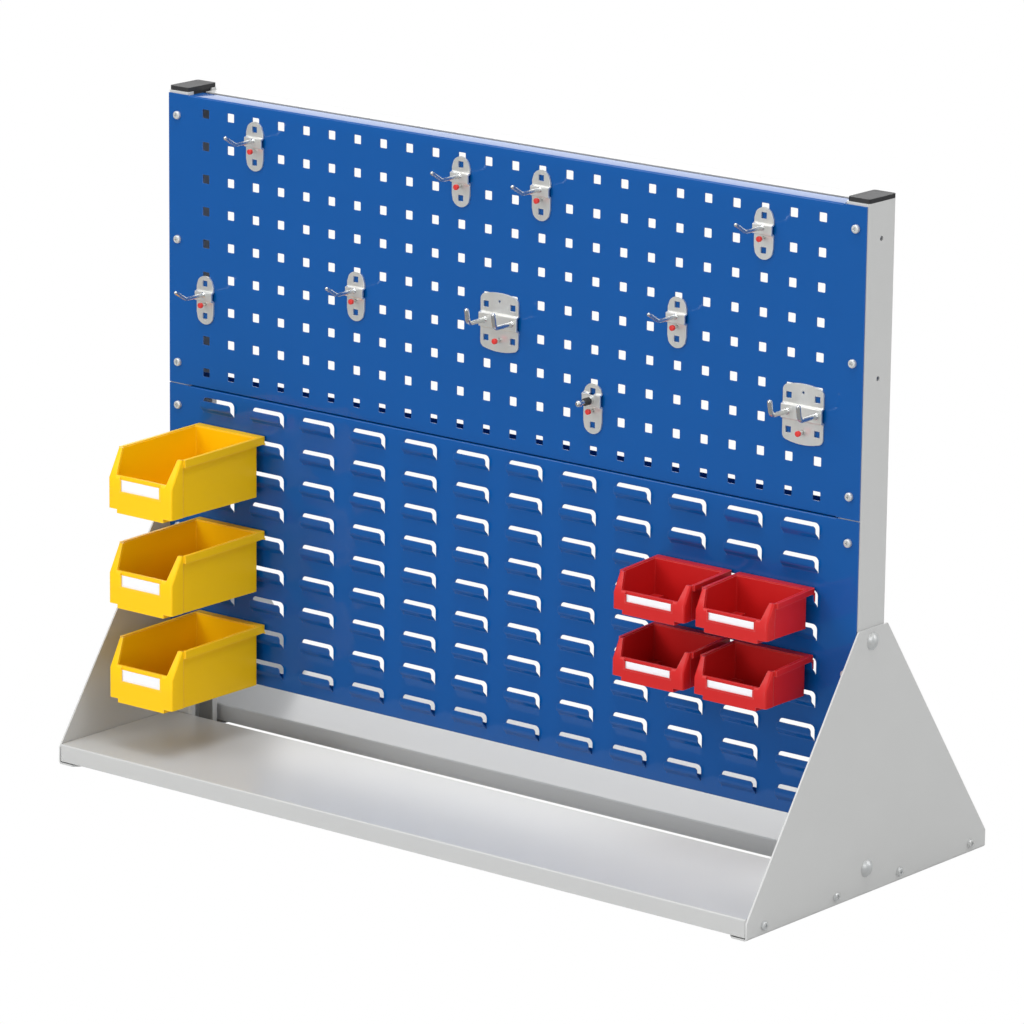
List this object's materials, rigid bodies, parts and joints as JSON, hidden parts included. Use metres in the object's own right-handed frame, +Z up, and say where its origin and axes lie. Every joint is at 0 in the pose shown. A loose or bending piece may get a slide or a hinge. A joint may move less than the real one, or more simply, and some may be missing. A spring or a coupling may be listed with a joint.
{
  "type": "freestanding tool wall",
  "caption": "Freestanding steel tool wall with a perforated panel, hooks and a louvred panel of hanging bins.",
  "frame": {"origin": "on the table, below the middle of the base's footprint", "axes": "+X along the panels to the viewer's right, +Z up, the bins and hooks face -Y"},
  "size_m": [1.004, 0.442, 0.7708],
  "materials": {
    "frame_paint": "satin powder coat",
    "panel_paint": "gloss powder coat",
    "zinc": "bright zinc plate",
    "bolt_zinc": "zinc plate",
    "black_plastic": "moulded",
    "black_rubber": "matte",
    "red_cap": "moulded",
    "yellow_bin": "moulded, soft gloss",
    "red_bin": "moulded, soft gloss",
    "card": "matte card"
  },
  "bodies": {
    "wall": {"left_upright": "frame_paint", "right_upright": "frame_paint", "left_gusset": "frame_paint", "right_gusset": "frame_paint", "front_shelf": "frame_paint", "rear_shelf": "frame_paint", "rear_top_rail": "frame_paint", "left_cap": "black_plastic", "right_cap": "black_plastic", "perforated_panel": "panel_paint", "louvre_panel": "panel_paint", "gusset_bolts": "bolt_zinc", "gusset_nuts": "bolt_zinc", "shelf_screws": "bolt_zinc", "panel_screws": "bolt_zinc"},
    "hook_1": {"hook_1_plate": "zinc", "hook_1_wire": "zinc"},
    "hook_1_screw": {"hook_1_lock_screw": "red_cap"},
    "hook_2": {"hook_2_plate": "zinc", "hook_2_wire": "zinc"},
    "hook_2_screw": {"hook_2_lock_screw": "red_cap"},
    "hook_3": {"hook_3_plate": "zinc", "hook_3_wire": "zinc"},
    "hook_3_screw": {"hook_3_lock_screw": "red_cap"},
    "hook_4": {"hook_4_plate": "zinc", "hook_4_wire": "zinc"},
    "hook_4_screw": {"hook_4_lock_screw": "red_cap"},
    "hook_5": {"hook_5_plate": "zinc", "hook_5_wire": "zinc"},
    "hook_5_screw": {"hook_5_lock_screw": "red_cap"},
    "hook_6": {"hook_6_plate": "zinc", "hook_6_wire": "zinc"},
    "hook_6_screw": {"hook_6_lock_screw": "red_cap"},
    "hook_7": {"hook_7_plate": "zinc", "hook_7_wire": "zinc"},
    "hook_7_screw": {"hook_7_lock_screw": "red_cap"},
    "double_hook_1": {"double_hook_1_plate": "zinc", "double_hook_1_wires": "zinc"},
    "double_hook_1_screw": {"double_hook_1_lock_screw": "red_cap"},
    "double_hook_2": {"double_hook_2_plate": "zinc", "double_hook_2_wires": "zinc"},
    "double_hook_2_screw": {"double_hook_2_lock_screw": "red_cap"},
    "stud_holder": {"stud_holder_plate": "zinc", "stud_holder_stud": "zinc", "stud_holder_sleeve": "black_rubber"},
    "stud_holder_screw": {"stud_holder_lock_screw": "red_cap"},
    "yellow_bin_1": {"yellow_bin_1": "yellow_bin"},
    "yellow_bin_1_card": {"yellow_bin_1_card": "card"},
    "yellow_bin_2": {"yellow_bin_2": "yellow_bin"},
    "yellow_bin_2_card": {"yellow_bin_2_card": "card"},
    "yellow_bin_3": {"yellow_bin_3": "yellow_bin"},
    "yellow_bin_3_card": {"yellow_bin_3_card": "card"},
    "red_bin_1": {"red_bin_1": "red_bin"},
    "red_bin_1_card": {"red_bin_1_card": "card"},
    "red_bin_2": {"red_bin_2": "red_bin"},
    "red_bin_2_card": {"red_bin_2_card": "card"},
    "red_bin_3": {"red_bin_3": "red_bin"},
    "red_bin_3_card": {"red_bin_3_card": "card"},
    "red_bin_4": {"red_bin_4": "red_bin"},
    "red_bin_4_card": {"red_bin_4_card": "card"}
  },
  "joints": [
    {"name": "hook_1_lift", "type": "slide", "parent": "wall", "child": "hook_1", "axis": [0, 0, 1], "range_m": [0, 0.005]},
    {"name": "hook_1_screw_out", "type": "slide", "parent": "hook_1", "child": "hook_1_screw", "axis": [0, -1, 0], "range_m": [0, 0.003]},
    {"name": "hook_2_lift", "type": "slide", "parent": "wall", "child": "hook_2", "axis": [0, 0, 1], "range_m": [0, 0.005]},
    {"name": "hook_2_screw_out", "type": "slide", "parent": "hook_2", "child": "hook_2_screw", "axis": [0, -1, 0], "range_m": [0, 0.003]},
    {"name": "hook_3_lift", "type": "slide", "parent": "wall", "child": "hook_3", "axis": [0, 0, 1], "range_m": [0, 0.005]},
    {"name": "hook_3_screw_out", "type": "slide", "parent": "hook_3", "child": "hook_3_screw", "axis": [0, -1, 0], "range_m": [0, 0.003]},
    {"name": "hook_4_lift", "type": "slide", "parent": "wall", "child": "hook_4", "axis": [0, 0, 1], "range_m": [0, 0.005]},
    {"name": "hook_4_screw_out", "type": "slide", "parent": "hook_4", "child": "hook_4_screw", "axis": [0, -1, 0], "range_m": [0, 0.003]},
    {"name": "hook_5_lift", "type": "slide", "parent": "wall", "child": "hook_5", "axis": [0, 0, 1], "range_m": [0, 0.005]},
    {"name": "hook_5_screw_out", "type": "slide", "parent": "hook_5", "child": "hook_5_screw", "axis": [0, -1, 0], "range_m": [0, 0.003]},
    {"name": "hook_6_lift", "type": "slide", "parent": "wall", "child": "hook_6", "axis": [0, 0, 1], "range_m": [0, 0.005]},
    {"name": "hook_6_screw_out", "type": "slide", "parent": "hook_6", "child": "hook_6_screw", "axis": [0, -1, 0], "range_m": [0, 0.003]},
    {"name": "hook_7_lift", "type": "slide", "parent": "wall", "child": "hook_7", "axis": [0, 0, 1], "range_m": [0, 0.005]},
    {"name": "hook_7_screw_out", "type": "slide", "parent": "hook_7", "child": "hook_7_screw", "axis": [0, -1, 0], "range_m": [0, 0.003]},
    {"name": "double_hook_1_lift", "type": "slide", "parent": "wall", "child": "double_hook_1", "axis": [0, 0, 1], "range_m": [0, 0.005]},
    {"name": "double_hook_1_screw_out", "type": "slide", "parent": "double_hook_1", "child": "double_hook_1_screw", "axis": [0, -1, 0], "range_m": [0, 0.003]},
    {"name": "double_hook_2_lift", "type": "slide", "parent": "wall", "child": "double_hook_2", "axis": [0, 0, 1], "range_m": [0, 0.005]},
    {"name": "double_hook_2_screw_out", "type": "slide", "parent": "double_hook_2", "child": "double_hook_2_screw", "axis": [0, -1, 0], "range_m": [0, 0.003]},
    {"name": "stud_holder_lift", "type": "slide", "parent": "wall", "child": "stud_holder", "axis": [0, 0, 1], "range_m": [0, 0.005]},
    {"name": "stud_holder_screw_out", "type": "slide", "parent": "stud_holder", "child": "stud_holder_screw", "axis": [0, -1, 0], "range_m": [0, 0.003]},
    {"name": "yellow_bin_1_lift", "type": "slide", "parent": "wall", "child": "yellow_bin_1", "axis": [0, 0, 1], "range_m": [0, 0.012]},
    {"name": "yellow_bin_1_card_slide", "type": "slide", "parent": "yellow_bin_1", "child": "yellow_bin_1_card", "axis": [0, 0, 1], "range_m": [0, 0.01]},
    {"name": "yellow_bin_2_lift", "type": "slide", "parent": "wall", "child": "yellow_bin_2", "axis": [0, 0, 1], "range_m": [0, 0.012]},
    {"name": "yellow_bin_2_card_slide", "type": "slide", "parent": "yellow_bin_2", "child": "yellow_bin_2_card", "axis": [0, 0, 1], "range_m": [0, 0.01]},
    {"name": "yellow_bin_3_lift", "type": "slide", "parent": "wall", "child": "yellow_bin_3", "axis": [0, 0, 1], "range_m": [0, 0.012]},
    {"name": "yellow_bin_3_card_slide", "type": "slide", "parent": "yellow_bin_3", "child": "yellow_bin_3_card", "axis": [0, 0, 1], "range_m": [0, 0.01]},
    {"name": "red_bin_1_lift", "type": "slide", "parent": "wall", "child": "red_bin_1", "axis": [0, 0, 1], "range_m": [0, 0.012]},
    {"name": "red_bin_1_card_slide", "type": "slide", "parent": "red_bin_1", "child": "red_bin_1_card", "axis": [0, 0, 1], "range_m": [0, 0.01]},
    {"name": "red_bin_2_lift", "type": "slide", "parent": "wall", "child": "red_bin_2", "axis": [0, 0, 1], "range_m": [0, 0.012]},
    {"name": "red_bin_2_card_slide", "type": "slide", "parent": "red_bin_2", "child": "red_bin_2_card", "axis": [0, 0, 1], "range_m": [0, 0.01]},
    {"name": "red_bin_3_lift", "type": "slide", "parent": "wall", "child": "red_bin_3", "axis": [0, 0, 1], "range_m": [0, 0.012]},
    {"name": "red_bin_3_card_slide", "type": "slide", "parent": "red_bin_3", "child": "red_bin_3_card", "axis": [0, 0, 1], "range_m": [0, 0.01]},
    {"name": "red_bin_4_lift", "type": "slide", "parent": "wall", "child": "red_bin_4", "axis": [0, 0, 1], "range_m": [0, 0.012]},
    {"name": "red_bin_4_card_slide", "type": "slide", "parent": "red_bin_4", "child": "red_bin_4_card", "axis": [0, 0, 1], "range_m": [0, 0.01]}
  ]
}
